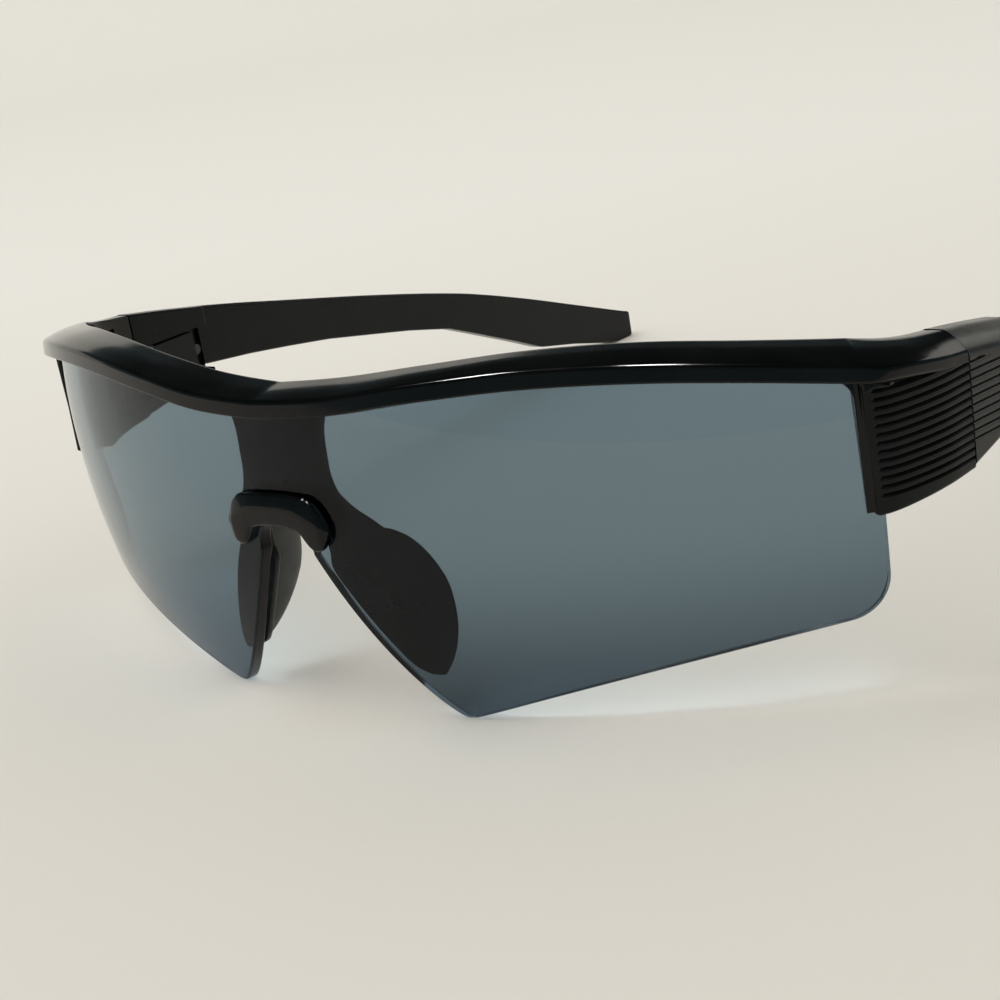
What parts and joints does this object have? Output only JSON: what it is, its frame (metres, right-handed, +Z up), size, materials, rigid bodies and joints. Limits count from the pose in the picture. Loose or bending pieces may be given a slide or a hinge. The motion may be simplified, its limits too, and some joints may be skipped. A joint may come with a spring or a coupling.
{
  "type": "sport sunglasses",
  "caption": "Wraparound sport sunglasses: one smoke shield lens under a brow bar with ribbed end pieces, nose pads, and temples that fold on screw hinges",
  "frame": {"origin": "on the surface that the glasses stand on, under the middle of their bounding box, temples open", "axes": "+Z up, -Y towards the front of the lens, +X towards the wearer's left; the YZ plane is the mirror plane"},
  "size_m": [0.1388, 0.1624, 0.0434],
  "materials": {
    "frame_black": "gloss black injection-moulded nylon",
    "temple_black": "gloss black injection-moulded nylon, satin on the ribs",
    "smoke_lens": "smoke grey polycarbonate, polished",
    "soft_pad": "soft satin black elastomer",
    "hinge_satin": "satin black",
    "screw_steel": "plain turned steel"
  },
  "bodies": {
    "front": {"brow_frame": "frame_black", "shield_lens": "smoke_lens", "nose_clip": "frame_black", "nose_pad_left": "soft_pad", "nose_pad_right": "soft_pad", "frame_hinge_left": "hinge_satin", "frame_hinge_right": "hinge_satin", "hinge_screw_left": "screw_steel", "hinge_screw_right": "screw_steel"},
    "left_temple": {"temple_left": "temple_black", "temple_hinge_left": "hinge_satin", "temple_screw_left": "screw_steel"},
    "right_temple": {"temple_right": "temple_black", "temple_hinge_right": "hinge_satin", "temple_screw_right": "screw_steel"}
  },
  "joints": [
    {"name": "left_fold", "type": "hinge", "parent": "front", "child": "left_temple", "pos_m": [0.062, -0.04115, 0.0259], "axis": [0, 0, 1], "range_deg": [0, 93]},
    {"name": "right_fold", "type": "hinge", "parent": "front", "child": "right_temple", "pos_m": [-0.062, -0.04115, 0.0259], "axis": [0, 0, -1], "range_deg": [0, 87]}
  ]
}
